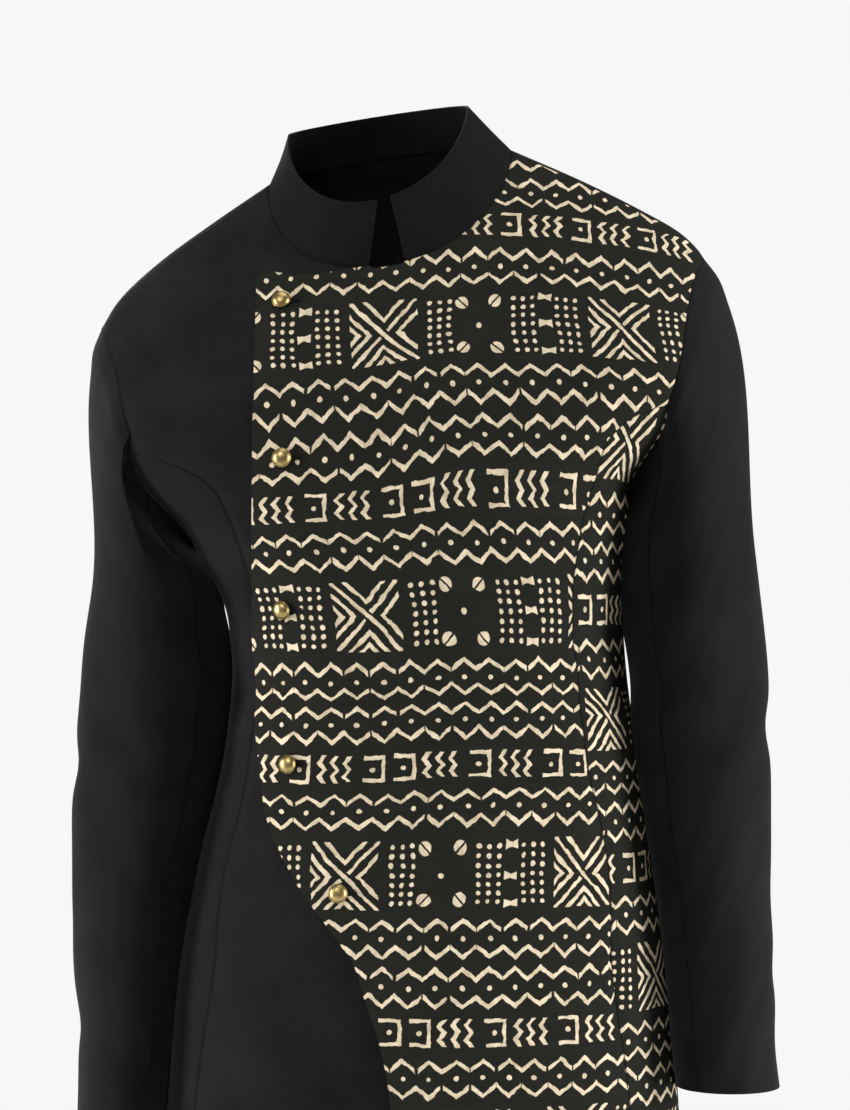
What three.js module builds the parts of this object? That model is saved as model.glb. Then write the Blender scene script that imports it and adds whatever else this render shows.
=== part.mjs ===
// A mud cloth jacket as it hangs when worn: a black stand collar, black sleeves, back and right front,
// and a printed left front that laps far over the right one and closes with five brass buttons.
// Millimetres, +Z up. The front faces -Y, and the jacket's own right side is at -X.
// The origin is midway between the two points where the shoulder seams meet the collar.
import * as THREE from 'three';

// Every table here has its column names first and then a row for each section, point or piece
function table(names, ...rows) {
  return rows.map((row) => Object.fromEntries(row.map((value, i) => [names[i], value])));
}

// Cloth and seams
const WALL = 2; // cotton cloth with its turnings
const SEAM_GAP = 0.3; // space between two pieces that are sewn together
const SLEEVE_SET = 1.1; // how far outside the armhole edge a sleeve starts, which clears its straight facets
const LAP_LIFT = WALL + 0.8; // how far the printed front stands off the cloth under it
const LAP_TAPER = 45; // width over which it comes down again past the hidden edge
const CORNER_RADIUS = 7; // upper corner of the printed front
const BODY_TWIST = 0.087; // sideways shift of a section for each millimetre of depth

// How finely the cloth is divided
const TURN_STEPS = 48; // round the body
const SKIRT_ROWS = 16; // hem to armpit
const CHEST_ROWS = 8; // armpit to shoulder tip
const YOKE_ROWS = 5; // shoulder tip to collar
const COLLAR_ROWS = 2;
const SLEEVE_STEPS = 24; // round a sleeve
const CAP_ROWS = 6; // armhole to upper arm
const ARM_ROWS = 12; // upper arm to cuff
const SHORTEST_EDGE = 2; // shorter edges left by a cut are closed up

// Sections of the body from the hem up. Each is an oval through its left, right, front and back points.
// dip is how far its front point lies under the line between its sides, rise how far the back is over it.
// The rows from blades to shoulder tip pass through the armholes, so their side points are cut away.
const BODY = table(
  ['at', 'leftX', 'leftZ', 'rightX', 'rightZ', 'front', 'back', 'dip', 'rise', 'square'],
  ['hem', -172, -768, 222, -768, 124, 130, 0, 0, 2.3],
  ['low hip', -166, -690, 217, -690, 124, 128, 0, 0, 2.3],
  ['hip', -156, -594, 209, -594, 121, 124, 0, 0, 2.3],
  ['high hip', -142, -520, 198, -520, 117, 118, 0, 0, 2.3],
  ['under waist', -124, -447, 184, -443, 113, 107, 0, 0, 2.3],
  ['waist', -117, -379, 175, -367, 112, 99, 0, 0, 2.3],
  ['ribs', -120, -333, 171, -313, 116, 102, 0, 0, 2.3],
  ['chest', -135, -300, 175, -270, 121, 108, 2, 0, 2.35],
  ['armpit', -151, -277, 183, -240, 123, 112, 6, 2, 2.4],
  ['blades', -204, -228, 234, -183, 121, 117, 17, 6, 2.4],
  ['mid armhole', -234, -180, 258, -130, 116, 116, 38, 10, 2.4],
  ['high armhole', -231, -143, 250, -92, 109.5, 111, 53, 12, 2.3],
  ['shoulder tip', -219, -123, 238, -70, 104.5, 107, 61, 14, 2.15],
  ['outer shoulder', -205, -101, 221, -52, 97.5, 100, 67, 16, 2.05],
  ['mid shoulder', -176, -74, 190, -34, 88, 89, 71, 17, 2],
  ['inner shoulder', -135, -44, 145, -12, 75, 76, 75, 17, 2],
  ['collar seam', -91, -14, 92, 11, 61, 62, 79, 14, 2],
);

// Sections of the stand collar, read as the body's are. It leans with the neck.
const COLLAR = table(
  ['at', 'leftX', 'leftZ', 'rightX', 'rightZ', 'front', 'back', 'dip', 'rise', 'square'],
  ['collar seam', -91, -14, 92, 11, 61, 62, 79, 14, 2],
  ['half height', -83, 5, 76, 27, 62, 60, 73, 12, 2],
  ['collar top', -77, 24, 59, 45, 60, 56, 66, 10, 2],
);

// Seam lines and edges as they run in the front view, from the lowest point up
const ARMHOLE_RIGHT = table(
  ['z', 'x'],
  [-279, -145],
  [-263, -153],
  [-243, -166],
  [-224, -180],
  [-199, -193],
  [-160, -203],
  [-142, -209],
  [-123, -219],
  [-100, -240],
);
const ARMHOLE_LEFT = table(
  ['z', 'x'],
  [-242, 176],
  [-223, 186],
  [-203, 197],
  [-184, 206],
  [-145, 217],
  [-106, 224],
  [-88, 229],
  [-70, 238],
  [-47, 258],
);
const ARMPIT_RADIUS = 45;
const LAP_EDGE = table(
  ['z', 'x'],
  [-768, 8],
  [-698, 2],
  [-660, -4],
  [-618, -17],
  [-593, -25],
  [-567, -43],
  [-537, -65],
  [-512, -79],
  [-489, -88],
  [-457, -93],
  [-432, -96],
  [-362, -99],
  [-298, -99],
  [-90, -98],
);
const LAP_TOP = table(
  ['x', 'z'],
  [-98, -84],
  [-58, -88],
  [-31, -84],
  [-1, -79],
  [13, -75],
  [40, -20],
);
const HIDDEN_EDGE = table(
  ['z', 'x'],
  [-768, 50],
  [-400, 30],
  [-200, 4],
  [-77, -16],
);
const PRINCESS_LEFT = table(
  ['z', 'x'],
  [-768, 186],
  [-656, 173],
  [-597, 166],
  [-522, 162],
  [-489, 156],
  [-450, 147],
  [-380, 141],
  [-320, 136],
  [-289, 140],
  [-262, 145],
  [-241, 152],
  [-206, 167],
  [-192, 185],
  [-182, 215],
  [-172, 270],
);
const PRINCESS_RIGHT = table(
  ['z', 'x'],
  [-768, -151],
  [-656, -138],
  [-597, -129],
  [-565, -127],
  [-522, -121],
  [-489, -112],
  [-432, -102],
  [-380, -99],
  [-320, -102],
  [-289, -110],
  [-262, -120],
  [-245, -130],
  [-232, -150],
  [-222, -180],
  [-212, -230],
);
const COLLAR_END_RIGHT = table(
  ['z', 'x'],
  [-84, -16],
  [-34, -9],
);
const COLLAR_END_LEFT = table(
  ['z', 'x'],
  [-80, 13],
  [-26, 0.5],
);

// Sections of the sleeves from the cuff up. body is the side by the body, out the far side.
const SLEEVE_RIGHT = table(
  ['z', 'body', 'out', 'front', 'back'],
  [-741, -172, -235, -80, 18],
  [-714, -170, -234, -78, 22],
  [-651, -164.5, -234, -75, 27],
  [-594, -158, -238, -71, 31],
  [-525, -145, -239, -70, 36],
  [-461, -129, -239, -69, 43],
  [-402, -121, -234, -68, 50],
  [-360, -122, -231, -66, 57],
  [-325, -131, -226, -65, 61],
);
const SLEEVE_LEFT = table(
  ['z', 'body', 'out', 'front', 'back'],
  [-692, 218, 292, -80, 18],
  [-664, 215, 289, -78, 21],
  [-612, 210.5, 290, -73, 28],
  [-562, 204, 287, -71, 33],
  [-501, 195, 287, -70, 38],
  [-437, 185, 287, -69, 45],
  [-375, 179, 285, -67, 53],
  [-325, 175, 280, -65, 60],
  [-290, 177, 276, -64, 62],
);
// How far a sleeve head swings out before it hangs, as a share of its length, at three heights of the armhole
const RIGHT_REACH = table(
  ['height', 'out'],
  [0, 0.08],
  [0.5, 0.5],
  [1, 0.35],
);
const LEFT_REACH = table(
  ['height', 'out'],
  [0, 0.08],
  [0.5, 0.5],
  [1, 0.6],
);
const FRONT_SLEEVE_SEAM = 50; // degrees round the sleeve from the side by the body, forwards
const BACK_SLEEVE_SEAM = 290;

// The largest folds: soft troughs along a line in space, each with its depth and half width
const FOLDS = table(
  ['from', 'to', 'depth', 'width'],
  [[-176, -98, -158], [-168, -108, -205], 2.5, 15],
  [[196, -76, -196], [160, -108, -214], 2.5, 15],
  [[-112, -55, -398], [-84, -92, -384], 3, 16],
  [[176, -30, -352], [126, -92, -366], 3.5, 18],
  [[180, -20, -392], [132, -88, -400], 2.5, 16],
  [[-70, 96, -352], [40, 104, -366], 4, 20],
  [[140, 70, -372], [50, 100, -388], 3.5, 18],
  [[-110, 60, -404], [-20, 100, -414], 3, 18],
  [[-170, 88, -196], [-120, 108, -262], 3, 18],
  [[190, 88, -150], [146, 106, -222], 3, 18],
  [[-140, -40, -352], [-205, -50, -378], 5, 18],
  [[-128, -30, -415], [-196, -58, -432], 6, 18],
  [[-132, -10, -462], [-190, -54, -480], 4.5, 17],
  [[-240, -18, -452], [-226, 44, -476], 4, 18],
  [[-160, -46, -548], [-222, -40, -570], 3.5, 17],
  [[-236, -20, -640], [-196, -58, -662], 3, 16],
  [[190, -44, -318], [252, -56, -348], 5, 18],
  [[184, -34, -390], [250, -58, -412], 6, 18],
  [[190, -14, -446], [246, -56, -458], 4.5, 17],
  [[286, -16, -424], [272, 44, -452], 4, 18],
  [[212, -46, -530], [272, -42, -548], 3.5, 17],
  [[288, -22, -606], [248, -56, -628], 3, 16],
);

// Domed brass buttons along the printed front's edge, from the top down
const BUTTONS = table(
  ['x', 'z'],
  [-79, -106],
  [-78, -224],
  [-78, -334],
  [-73, -448],
  [-36, -541],
);
const BUTTON = { radius: 6.6, dome: 4.2, edge: 0.9, shankRadius: 2, shank: 1.8, segments: 12 };

const black = new THREE.MeshStandardMaterial({ color: 0x212123, roughness: 0.85, metalness: 0 });
const mudCloth = new THREE.MeshStandardMaterial({ color: 0x4a4740, roughness: 0.95, metalness: 0 });
const brass = new THREE.MeshStandardMaterial({ color: 0xb99650, roughness: 0.35, metalness: 1 });

// Reads one column of a table as a smooth curve through its rows, level past its ends
function curve(rows, key, column) {
  const at = rows.map((row) => row[key]);
  const value = rows.map((row) => row[column]);
  const last = at.length - 1;
  const rise = (i) => (value[i + 1] - value[i]) / (at[i + 1] - at[i]);
  const slope = at.map((_, i) => {
    if (i === 0) return rise(0);
    if (i === last) return rise(last - 1);
    const before = at[i] - at[i - 1];
    const after = at[i + 1] - at[i];
    return (rise(i - 1) * after + rise(i) * before) / (before + after);
  });
  return (place) => {
    let i = 0;
    while (i < last - 1 && place > at[i + 1]) i += 1;
    const span = at[i + 1] - at[i];
    const t = THREE.MathUtils.clamp((place - at[i]) / span, 0, 1);
    const u = 1 - t;
    return (
      value[i] * u * u * (1 + 2 * t) +
      value[i + 1] * t * t * (3 - 2 * t) +
      span * (slope[i] * t * u * u - slope[i + 1] * t * t * u)
    );
  };
}

// Every column of a table at once
function columns(rows, key) {
  const names = Object.keys(rows[0]).filter((name) => name !== 'at' && name !== key);
  const curves = names.map((name) => [name, curve(rows, key, name)]);
  return (place) => Object.fromEntries(curves.map(([name, read]) => [name, read(place)]));
}

// A surface through oval sections: turn runs from 0 at the front to +90 degrees on the jacket's left,
// and level is the mean height of a section's two sides
function ovalSurface(rows) {
  const levelled = rows.map((row) => ({ ...row, level: (row.leftZ + row.rightZ) / 2 }));
  const section = columns(levelled, 'level');
  const surface = (turn, level) => {
    const s = section(level);
    const power = 2 / s.square;
    const across = Math.sign(Math.sin(turn)) * Math.abs(Math.sin(turn)) ** power;
    const ahead = Math.sign(Math.cos(turn)) * Math.abs(Math.cos(turn)) ** power;
    const y = ahead > 0 ? -ahead * s.front : -ahead * s.back;
    const tilt = ahead > 0 ? -ahead * s.dip : -ahead * s.rise;
    const x = (s.leftX + s.rightX) / 2 + (across * (s.rightX - s.leftX)) / 2 + y * BODY_TWIST;
    const z = (s.leftZ + s.rightZ) / 2 + (across * (s.rightZ - s.leftZ)) / 2 + tilt;
    return new THREE.Vector3(x, y, z);
  };
  surface.level = Object.fromEntries(levelled.map((row) => [row.at, row.level]));
  surface.step = 0.5;
  return surface;
}

// The outward direction of a surface at a place on it
function outward(surface, u, v) {
  const alongU = surface(u + 0.02, v).sub(surface(u - 0.02, v));
  const alongV = surface(u, v + surface.step).sub(surface(u, v - surface.step));
  return alongU.cross(alongV).normalize();
}

// How deep the folds press the cloth in at a point
function foldDepth(point) {
  let depth = 0;
  for (const fold of FOLDS) {
    const line = new THREE.Line3(new THREE.Vector3(...fold.from), new THREE.Vector3(...fold.to));
    const nearest = line.closestPointToPoint(point, true, new THREE.Vector3());
    const away = nearest.distanceTo(point) / fold.width;
    depth += fold.depth * Math.exp(-away * away);
  }
  return depth;
}

// A closed wall of cloth over a patch of a surface.
// corners are places [u, v] on the surface, triangles join them, lift raises the cloth off the surface.
function clothWall(surface, corners, triangles, lift, material) {
  const outer = [];
  const inner = [];
  for (const [u, v] of corners) {
    const normal = outward(surface, u, v);
    const point = surface(u, v);
    point.addScaledVector(normal, lift(point) - foldDepth(point));
    outer.push(point);
    inner.push(point.clone().addScaledVector(normal, -WALL));
  }
  const count = corners.length;
  const faces = [];
  const edges = new Set(triangles.flatMap(([a, b, c]) => [`${a} ${b}`, `${b} ${c}`, `${c} ${a}`]));
  for (const [a, b, c] of triangles) {
    faces.push([a, b, c], [a + count, c + count, b + count]);
    for (const [from, to] of [[a, b], [b, c], [c, a]]) {
      if (!edges.has(`${to} ${from}`)) {
        faces.push([from, from + count, to + count], [from, to + count, to]);
      }
    }
  }
  const geometry = new THREE.BufferGeometry().setFromPoints([...outer, ...inner]);
  geometry.setIndex(faces.flat());
  geometry.computeVertexNormals();
  return new THREE.Mesh(geometry, material);
}

// A grid of places, its triangles facing out
function grid(us, vs) {
  const corners = vs.flatMap((v) => us.map((u) => [u, v]));
  const triangles = [];
  for (let row = 0; row + 1 < vs.length; row += 1) {
    for (let column = 0; column + 1 < us.length; column += 1) {
      const a = row * us.length + column;
      const b = a + 1;
      const c = b + us.length;
      const d = a + us.length;
      triangles.push([a, b, c], [a, c, d]);
    }
  }
  return { corners, triangles };
}

// Cuts a patch along the line where inside(u, v) is zero, and keeps the part where it is over zero
function cut(patch, inside) {
  const { corners } = patch;
  const depth = corners.map(([u, v]) => inside(u, v));
  const crossings = new Map();
  const crossing = (a, b) => {
    const key = a < b ? `${a} ${b}` : `${b} ${a}`;
    if (!crossings.has(key)) {
      let [kept, lost] = depth[a] > 0 ? [corners[a], corners[b]] : [corners[b], corners[a]];
      for (let i = 0; i < 14; i += 1) {
        const middle = [(kept[0] + lost[0]) / 2, (kept[1] + lost[1]) / 2];
        if (inside(...middle) > 0) kept = middle;
        else lost = middle;
      }
      crossings.set(key, corners.push(kept) - 1);
    }
    return crossings.get(key);
  };
  const triangles = [];
  for (const triangle of patch.triangles) {
    const kept = triangle.filter((i) => depth[i] > 0).length;
    if (kept === 3) triangles.push(triangle);
    if (kept === 0 || kept === 3) continue;
    const lone = triangle.findIndex((i) => depth[i] > 0 === (kept === 1));
    const a = triangle[lone];
    const b = triangle[(lone + 1) % 3];
    const c = triangle[(lone + 2) % 3];
    if (kept === 1) triangles.push([a, crossing(a, b), crossing(a, c)]);
    else triangles.push([crossing(a, b), b, c], [crossing(a, b), c, crossing(a, c)]);
  }
  return { corners, triangles };
}

// Closes up the very short edges that cuts leave, towards the patch's own edge, and drops unused corners
function tidied(patch, surface) {
  let { triangles } = patch;
  const points = patch.corners.map(([u, v]) => surface(u, v));
  const count = new Map();
  const name = (a, b) => (a < b ? `${a} ${b}` : `${b} ${a}`);
  for (const [a, b, c] of triangles) {
    for (const key of [name(a, b), name(b, c), name(c, a)]) count.set(key, (count.get(key) || 0) + 1);
  }
  const onEdge = new Set();
  for (const [key, uses] of count) if (uses === 1) key.split(' ').forEach((i) => onEdge.add(Number(i)));
  const sharpness = (i) => (onEdge.has(i) ? 1 : 0);
  const becomes = new Map();
  const final = (i) => (becomes.has(i) ? final(becomes.get(i)) : i);
  for (const key of [...count.keys()]) {
    const [a, b] = key.split(' ').map((i) => final(Number(i)));
    if (a === b || points[a].distanceTo(points[b]) > SHORTEST_EDGE) continue;
    if (sharpness(a) === 1 && sharpness(b) === 1 && count.get(key) !== 1) continue;
    if (sharpness(a) >= sharpness(b)) becomes.set(b, a);
    else becomes.set(a, b);
  }
  triangles = triangles.map((triangle) => triangle.map(final));
  triangles = triangles.filter(([a, b, c]) => a !== b && b !== c && c !== a);
  const used = [...new Set(triangles.flat())];
  const place = new Map(used.map((corner, i) => [corner, i]));
  return {
    corners: used.map((i) => patch.corners[i]),
    triangles: triangles.map((triangle) => triangle.map((i) => place.get(i))),
  };
}

const spaced = (from, to, steps) => Array.from({ length: steps + 1 }, (_, i) => from + ((to - from) * i) / steps);
const radians = THREE.MathUtils.degToRad;
const half = SEAM_GAP / 2;
const quarter = TURN_STEPS / 4;

// Lines of the pattern in the front view
const armholeRight = curve(ARMHOLE_RIGHT, 'z', 'x');
const armholeLeft = curve(ARMHOLE_LEFT, 'z', 'x');
const lapEdge = curve(LAP_EDGE, 'z', 'x');
const lapTop = curve(LAP_TOP, 'x', 'z');
const hiddenEdge = curve(HIDDEN_EDGE, 'z', 'x');
const princessLeft = curve(PRINCESS_LEFT, 'z', 'x');
const princessRight = curve(PRINCESS_RIGHT, 'z', 'x');
const collarEndRight = curve(COLLAR_END_RIGHT, 'z', 'x');
const collarEndLeft = curve(COLLAR_END_LEFT, 'z', 'x');

const body = ovalSurface(BODY);
const collar = ovalSurface(COLLAR);

// How far a point is inside an armhole's line, over zero on the cloth
function clearOfArmhole(point, line, armpitZ, side) {
  const inFromLine = side * (line(point.z) - point.x);
  const underHole = armpitZ + point.y ** 2 / (2 * ARMPIT_RADIUS) - point.z;
  return Math.max(inFromLine, underHole);
}
const clearOfRightArm = (point) => clearOfArmhole(point, armholeRight, ARMHOLE_RIGHT[0].z, -1);
const clearOfLeftArm = (point) => clearOfArmhole(point, armholeLeft, ARMHOLE_LEFT[0].z, 1);

// The smaller of two distances, with the corner between their edges rounded
function roundedCorner(a, b, radius) {
  if (a < radius && b < radius) return radius - Math.hypot(radius - a, radius - b);
  return Math.min(a, b);
}

const levelRows = [
  ...spaced(body.level.hem, body.level.armpit, SKIRT_ROWS),
  ...spaced(body.level.armpit, body.level['shoulder tip'], CHEST_ROWS).slice(1),
  ...spaced(body.level['shoulder tip'], body.level['collar seam'] - half, YOKE_ROWS).slice(1),
];

// One panel of the body between two of its upright grid lines, cut along its pattern lines
function bodyPanel(name, fromStep, toStep, cuts, material, lift = () => 0) {
  const edge = half / 150;
  const turns = spaced(fromStep, toStep, toStep - fromStep).map((step) => (step * 2 * Math.PI) / TURN_STEPS);
  turns[0] += edge;
  turns[turns.length - 1] -= edge;
  let patch = grid(turns, levelRows);
  for (const inside of cuts) patch = cut(patch, (turn, level) => inside(body(turn, level)) - half);
  patch = tidied(patch, body);
  const mesh = clothWall(body, patch.corners, patch.triangles, lift, material);
  mesh.name = name;
  return mesh;
}

// The printed front is raised where the hidden edge of the right front lies under it
function lapLift(point) {
  const past = (point.x - hiddenEdge(point.z) - 10) / LAP_TAPER;
  return LAP_LIFT * (1 - THREE.MathUtils.smoothstep(past, 0, 1));
}
const lapOutline = (point) => {
  const fromEdge = point.x - lapEdge(point.z);
  const fromTop = lapTop(point.x) - point.z;
  return point.x > LAP_TOP[4].x ? 1000 : roundedCorner(fromEdge, fromTop, CORNER_RADIUS);
};

const jacket = new THREE.Group();
jacket.add(
  bodyPanel('front_right_centre', -quarter, 8, [
    (p) => p.x - princessRight(p.z),
    (p) => hiddenEdge(p.z) - p.x,
    clearOfRightArm,
  ], black),
  bodyPanel('front_right_side', -quarter, -3, [(p) => princessRight(p.z) - p.x, clearOfRightArm], black),
  bodyPanel('front_left_centre', 1 - quarter, quarter, [
    (p) => princessLeft(p.z) - p.x,
    lapOutline,
    clearOfLeftArm,
  ], mudCloth, lapLift),
  bodyPanel('front_left_side', 3, quarter, [(p) => p.x - princessLeft(p.z), clearOfLeftArm], mudCloth),
  bodyPanel('back_left', quarter, 2 * quarter, [clearOfLeftArm], black),
  bodyPanel('back_right', 2 * quarter, 3 * quarter, [clearOfRightArm], black),
);

// The stand collar, one band from end to end round the neck
{
  const levels = spaced(collar.level['collar seam'] + half, collar.level['collar top'], COLLAR_ROWS);
  let patch = grid(spaced(radians(2), radians(368), TURN_STEPS), levels);
  patch = cut(patch, (turn, level) => {
    const point = collar(turn, level);
    if (point.y > 0) return 100;
    const onLeft = turn < Math.PI;
    return onLeft ? point.x - collarEndLeft(point.z) : collarEndRight(point.z) - point.x;
  });
  patch = tidied(patch, collar);
  const band = clothWall(collar, patch.corners, patch.triangles, () => 0, black);
  band.name = 'collar';
  jacket.add(band);
}

// The closed line of an armhole: up its front edge from the armpit, and down its back edge
function armholeLoop(clear, side) {
  const sideTurn = (side * Math.PI) / 2;
  const top = body.level['shoulder tip'] - 0.5;
  let low = body.level.chest;
  let high = body.level.blades;
  for (let i = 0; i < 20; i += 1) {
    const middle = (low + high) / 2;
    if (clear(body(sideTurn, middle)) > 0) low = middle;
    else high = middle;
  }
  const bottom = high;
  const edge = (level, kept) => {
    let inside = kept;
    let outside = sideTurn;
    for (let i = 0; i < 20; i += 1) {
      const middle = (inside + outside) / 2;
      if (clear(body(middle, level)) > 0) inside = middle;
      else outside = middle;
    }
    return body(outside, level);
  };
  const levels = spaced(0, Math.PI, 40).map((a) => bottom + ((top - bottom) * (1 - Math.cos(a))) / 2);
  const front = levels.map((level) => edge(level, side * 0.35));
  const back = levels.map((level) => edge(level, side * (Math.PI - 0.35))).reverse();
  const frontCurve = new THREE.CatmullRomCurve3(front);
  const backCurve = new THREE.CatmullRomCurve3(back);
  return (share) => (share < 0.5 ? frontCurve.getPointAt(share * 2) : backCurve.getPointAt(share * 2 - 1));
}

// A sleeve's surface: around runs from the side by the body to the front, outside and back,
// down from 0 at the armhole to 1 at the upper arm, and on to 2 at the cuff
function sleeveSurface(rows, clear, side, reach) {
  const loop = armholeLoop(clear, side);
  const armpitZ = loop(0).z;
  const tipZ = loop(0.5).z;
  const section = columns(rows, 'z');
  const top = rows[rows.length - 1].z;
  const cuff = rows[0].z;
  const swing = curve(reach, 'height', 'out');
  const armPoint = (around, z) => {
    const s = section(z);
    const across = (s.body + s.out) / 2 + (Math.cos(around) * (s.body - s.out)) / 2;
    const deep = (s.front + s.back) / 2 + (Math.sin(around) * (s.front - s.back)) / 2;
    return new THREE.Vector3(across, deep, z);
  };
  return (around, down) => {
    const turn = ((around % (2 * Math.PI)) + 2 * Math.PI) % (2 * Math.PI);
    if (down >= 1) return armPoint(turn, top + (cuff - top) * (down - 1));
    const share = turn / (2 * Math.PI);
    const start = loop(share);
    start.x += side * SLEEVE_SET;
    const end = armPoint(turn, top);
    const length = start.distanceTo(end);
    const height = THREE.MathUtils.clamp((start.z - armpitZ) / (tipZ - armpitZ), 0, 1);
    const out = swing(height);
    const leave = new THREE.Vector3(side * out, 0, -Math.sqrt(1 - out * out)).multiplyScalar(length);
    const arrive = armPoint(turn, top - 10).sub(end).normalize().multiplyScalar(length);
    const t = Math.max(down, 0);
    const u = 1 - t;
    return start
      .multiplyScalar(u * u * (1 + 2 * t))
      .addScaledVector(leave, t * u * u)
      .addScaledVector(end, t * t * (3 - 2 * t))
      .addScaledVector(arrive, -t * t * u);
  };
}

// One piece of a sleeve between two angles. Seen from outside, the left sleeve's angles run the other way.
function sleevePiece(name, surface, side, fromAngle, toAngle) {
  const edge = half / 55;
  const steps = Math.round((SLEEVE_STEPS * (toAngle - fromAngle)) / 360);
  const turns = spaced(radians(fromAngle) + edge, radians(toAngle) - edge, steps);
  const across = side < 0 ? turns : turns.map((turn) => -turn).reverse();
  const downs = [...spaced(0, 1, CAP_ROWS), ...spaced(1, 2, ARM_ROWS).slice(1)];
  const facing = (around, down) => surface(-side * around, down);
  facing.step = 0.01;
  const patch = grid(across, downs);
  const mesh = clothWall(facing, patch.corners, patch.triangles, () => 0, black);
  mesh.name = name;
  return mesh;
}

for (const [name, rows, clear, side, reach] of [
  ['right', SLEEVE_RIGHT, clearOfRightArm, -1, RIGHT_REACH],
  ['left', SLEEVE_LEFT, clearOfLeftArm, 1, LEFT_REACH],
]) {
  const surface = sleeveSurface(rows, clear, side, reach);
  jacket.add(
    sleevePiece(`sleeve_${name}_upper`, surface, side, FRONT_SLEEVE_SEAM, BACK_SLEEVE_SEAM),
    sleevePiece(`sleeve_${name}_under`, surface, side, BACK_SLEEVE_SEAM - 360, FRONT_SLEEVE_SEAM),
  );
}

// Finds the turn and level where the body's front passes through a point of the front view
function onFront(x, z) {
  let turn = 0;
  let level = z;
  for (let i = 0; i < 30; i += 1) {
    const here = body(turn, level);
    turn += (x - here.x) / 260;
    level += (z - here.z) / 1.6;
  }
  return [turn, level];
}

// A domed button on its shank, standing on the cloth
function button(name, cloth, { x, z }) {
  const [turn, level] = onFront(x, z);
  const normal = outward(body, turn, level);
  const above = body(turn, level).addScaledVector(normal, 20);
  const [hit] = new THREE.Raycaster(above, normal.clone().negate()).intersectObject(cloth);
  const seat = hit.point.addScaledVector(normal, SEAM_GAP);
  const { radius, dome, edge, shankRadius, shank, segments } = BUTTON;
  const profile = [new THREE.Vector2(0, 0), new THREE.Vector2(shankRadius, 0), new THREE.Vector2(shankRadius, shank)];
  profile.push(new THREE.Vector2(radius, shank), new THREE.Vector2(radius, shank + edge));
  for (const angle of spaced(0, Math.PI / 2, 4).slice(1, -1)) {
    profile.push(new THREE.Vector2(radius * Math.cos(angle), shank + edge + dome * Math.sin(angle)));
  }
  profile.push(new THREE.Vector2(0, shank + edge + dome));
  const mesh = new THREE.Mesh(new THREE.LatheGeometry(profile, segments), brass);
  mesh.name = name;
  mesh.position.copy(seat);
  mesh.quaternion.setFromUnitVectors(new THREE.Vector3(0, 1, 0), normal);
  return mesh;
}
const printedFront = jacket.getObjectByName('front_left_centre');
BUTTONS.forEach((place, i) => jacket.add(button(`button_${i + 1}`, printedFront, place)));

export default jacket;
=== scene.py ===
import math

import bpy
import numpy as np
from mathutils import Matrix, Vector


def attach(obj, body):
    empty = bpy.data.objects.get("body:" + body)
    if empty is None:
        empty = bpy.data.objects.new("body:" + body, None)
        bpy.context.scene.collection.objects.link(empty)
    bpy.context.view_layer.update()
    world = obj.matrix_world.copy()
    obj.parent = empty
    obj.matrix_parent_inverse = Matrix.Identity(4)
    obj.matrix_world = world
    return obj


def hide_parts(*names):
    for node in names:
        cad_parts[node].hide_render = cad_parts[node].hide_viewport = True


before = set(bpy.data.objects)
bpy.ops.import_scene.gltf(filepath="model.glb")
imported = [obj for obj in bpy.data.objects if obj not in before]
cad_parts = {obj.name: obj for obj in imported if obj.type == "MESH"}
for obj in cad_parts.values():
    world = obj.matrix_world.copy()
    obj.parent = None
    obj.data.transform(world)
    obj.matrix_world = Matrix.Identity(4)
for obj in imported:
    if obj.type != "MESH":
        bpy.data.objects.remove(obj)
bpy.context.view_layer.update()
bpy.ops.object.select_all(action="DESELECT")

# The studio
# A level camera three metres in front of the jacket, soft light from large panels and a pale floor.
# The backdrop is the pale sky of the world, so that the jacket can be walked round.
CAMERA_AWAY = 3.0
VIEW_HIGH = 0.8403  # what the camera sees at the jacket, from top to foot
SENSOR_HIGH = 24
camera_data = bpy.data.cameras.new("camera")
camera_data.sensor_fit = "VERTICAL"
camera_data.sensor_height = SENSOR_HIGH
camera_data.sensor_width = 36
camera_data.lens = SENSOR_HIGH * CAMERA_AWAY / VIEW_HIGH
camera = bpy.data.objects.new("camera", camera_data)
camera.location = (0.0265, -CAMERA_AWAY, -0.2945)
camera.rotation_euler = (math.pi / 2, 0, 0)
bpy.context.scene.collection.objects.link(camera)
bpy.context.scene.camera = camera
bpy.context.scene.view_settings.view_transform = "Standard"


def soft_panel(name, place, aim, width, height, watts):
    light = bpy.data.lights.new(name, "AREA")
    light.shape = "RECTANGLE"
    light.size = width
    light.size_y = height
    light.energy = watts
    panel = bpy.data.objects.new(name, light)
    panel.location = place
    towards = Vector(aim) - Vector(place)
    panel.rotation_euler = towards.to_track_quat("-Z", "Y").to_euler()
    bpy.context.scene.collection.objects.link(panel)


soft_panel("key_light", (-1.1, -2.9, 1.9), (0, 0, -0.35), 1.6, 1.6, 56)
soft_panel("left_light", (-2.7, -0.7, -0.35), (0, 0, -0.6), 0.8, 2.2, 86)
soft_panel("right_light", (2.7, -0.7, -0.35), (0, 0, -0.6), 0.8, 2.2, 92)
soft_panel("top_light", (0.2, 0.1, 2.4), (0, 0, -0.3), 1.8, 1.8, 34)
soft_panel("back_light", (-0.6, 2.8, 0.9), (0, 0, -0.4), 1.8, 1.8, 60)

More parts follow.
